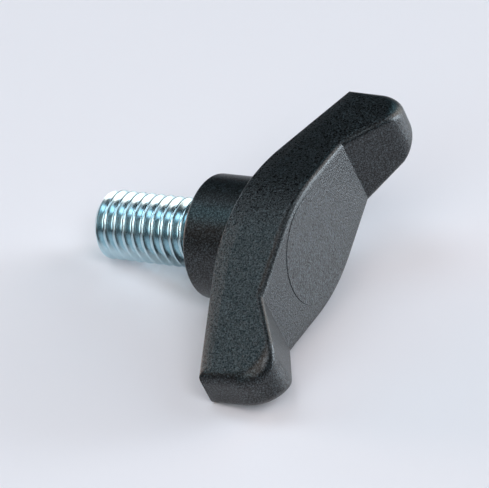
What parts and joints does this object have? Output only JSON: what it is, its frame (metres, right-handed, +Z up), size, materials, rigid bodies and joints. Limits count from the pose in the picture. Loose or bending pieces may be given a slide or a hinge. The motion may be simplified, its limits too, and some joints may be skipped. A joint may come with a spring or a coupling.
{
  "type": "male wing knob",
  "caption": "Two-winged clamping knob of black moulded plastic with a zinc-plated M8 threaded stud, lying on its side as it comes to rest.",
  "frame": {"origin": "centre of the hub's seating face, where the stud leaves the hub", "axes": "+Y along the two wings towards the one that stands clear of the table, +Z up from the table, and -X the way the stud points, which also falls 12.5 degrees towards the table"},
  "size_m": [0.0323, 0.041, 0.0188],
  "materials": {
    "plastic": "satin",
    "zinc_plated_steel": "polished"
  },
  "bodies": {
    "root": {"wing_body": "plastic", "threaded_stud": "zinc_plated_steel"}
  },
  "joints": []
}
